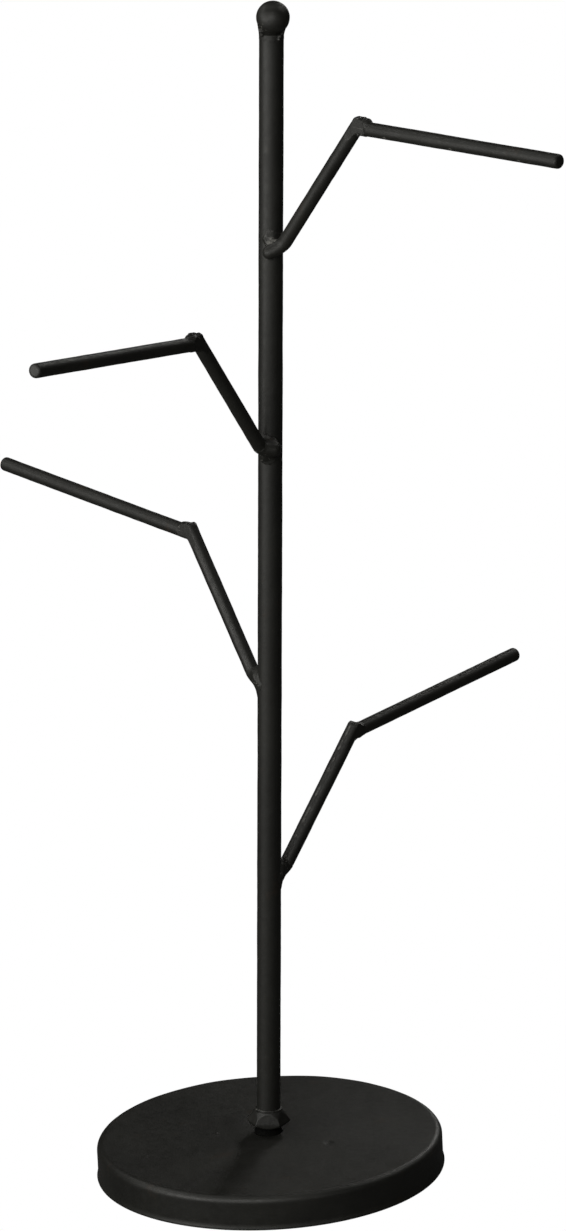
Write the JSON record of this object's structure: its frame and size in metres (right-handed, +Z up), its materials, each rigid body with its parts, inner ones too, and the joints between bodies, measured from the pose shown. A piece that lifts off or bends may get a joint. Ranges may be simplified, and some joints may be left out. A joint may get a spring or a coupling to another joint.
{
  "type": "mug tree",
  "caption": "Free-standing welded iron mug tree: a slim round post with a ball on top, bent rod branches spiralling round it, and a weighted round base.",
  "frame": {"origin": "centre of the pad's underside, on the surface that the stand rests on", "axes": "+Z up out of the base; +X is the side that the post leans to, slightly; -Y is the front"},
  "size_m": [0.2375, 0.2361, 0.4995],
  "materials": {
    "black_iron": "satin black paint on iron",
    "ballast_iron": "raw casting",
    "zinc_steel": "bright zinc plate",
    "pad_rubber": "matte solid rubber"
  },
  "bodies": {
    "root": {"base_shell": "black_iron", "base_ballast": "ballast_iron", "base_pad": "pad_rubber", "base_bolt": "zinc_steel", "bolt_washer": "zinc_steel", "bolt_spring_washer": "zinc_steel", "foot_nut": "black_iron", "foot_weld": "black_iron", "post": "black_iron", "finial_ball": "black_iron", "finial_weld": "black_iron", "stem_lower_right": "black_iron", "arm_lower_right": "black_iron", "knee_weld_lower_right": "black_iron", "root_weld_lower_right": "black_iron", "stem_middle_left": "black_iron", "arm_middle_left": "black_iron", "knee_weld_middle_left": "black_iron", "root_weld_middle_left": "black_iron", "stem_upper_left": "black_iron", "arm_upper_left": "black_iron", "knee_weld_upper_left": "black_iron", "root_weld_upper_left": "black_iron", "stem_top_right": "black_iron", "arm_top_right": "black_iron", "knee_weld_top_right": "black_iron", "root_weld_top_right": "black_iron"}
  },
  "joints": []
}
